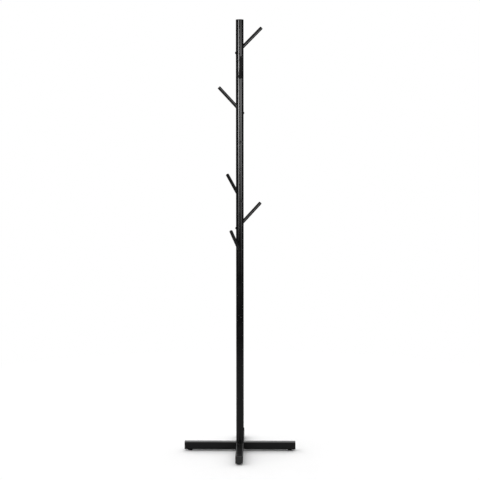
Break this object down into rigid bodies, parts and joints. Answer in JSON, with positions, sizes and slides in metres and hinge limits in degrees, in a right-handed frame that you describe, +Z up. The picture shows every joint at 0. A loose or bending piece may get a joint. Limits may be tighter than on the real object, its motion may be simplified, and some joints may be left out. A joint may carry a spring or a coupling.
{
  "type": "standing coat rack",
  "caption": "Tall round pole in screwed sections with slanted coat pegs in a rising spiral, on a half-lapped cross base with levelling feet.",
  "frame": {"origin": "on the floor, under the middle of the pole, with the feet screwed right in", "axes": "+Z up the pole; -Y along the front arm of the base; +X along its right-hand arm"},
  "size_m": [0.455, 0.455, 1.75],
  "materials": {
    "pole_paint": "satin black powder coat",
    "peg_paint": "satin black powder coat",
    "bar_paint": "satin black powder coat",
    "cap_plastic": "fine-grained black moulding",
    "black_screws": "black oxide",
    "zinc_steel": "clear zinc plate",
    "foot_rubber": "matt black"
  },
  "bodies": {
    "frame": {"pole_top": "pole_paint", "pole_middle": "pole_paint", "pole_bottom": "pole_paint", "top_cap": "cap_plastic", "peg_1": "peg_paint", "peg_2": "peg_paint", "peg_3": "peg_paint", "peg_4": "peg_paint", "peg_5": "peg_paint", "peg_6": "peg_paint", "peg_7": "peg_paint", "peg_screw_1": "black_screws", "peg_screw_2": "black_screws", "peg_screw_3": "black_screws", "peg_screw_4": "black_screws", "peg_screw_5": "black_screws", "peg_screw_6": "black_screws", "peg_screw_7": "black_screws", "joiner_upper": "zinc_steel", "joiner_lower": "zinc_steel", "joint_screw_upper": "black_screws", "joint_screw_lower": "black_screws", "long_bar": "bar_paint", "cross_bar": "bar_paint", "end_cap_right": "cap_plastic", "end_cap_rear": "cap_plastic", "end_cap_left": "cap_plastic", "end_cap_front": "cap_plastic", "base_spigot": "zinc_steel", "crush_sleeve": "zinc_steel", "base_bolt": "black_screws", "base_washer": "zinc_steel", "pole_lock_screw": "black_screws", "foot_nut_right": "zinc_steel", "foot_nut_rear": "zinc_steel", "foot_nut_left": "zinc_steel", "foot_nut_front": "zinc_steel"},
    "foot_right": {"foot_stud_right": "zinc_steel", "foot_pad_right": "foot_rubber"},
    "foot_rear": {"foot_stud_rear": "zinc_steel", "foot_pad_rear": "foot_rubber"},
    "foot_left": {"foot_stud_left": "zinc_steel", "foot_pad_left": "foot_rubber"},
    "foot_front": {"foot_stud_front": "zinc_steel", "foot_pad_front": "foot_rubber"}
  },
  "joints": [
    {"name": "foot_right_level", "type": "slide", "parent": "frame", "child": "foot_right", "axis": [0, 0, -1], "range_m": [0, 0.008]},
    {"name": "foot_rear_level", "type": "slide", "parent": "frame", "child": "foot_rear", "axis": [0, 0, -1], "range_m": [0, 0.008]},
    {"name": "foot_left_level", "type": "slide", "parent": "frame", "child": "foot_left", "axis": [0, 0, -1], "range_m": [0, 0.008]},
    {"name": "foot_front_level", "type": "slide", "parent": "frame", "child": "foot_front", "axis": [0, 0, -1], "range_m": [0, 0.008]}
  ]
}
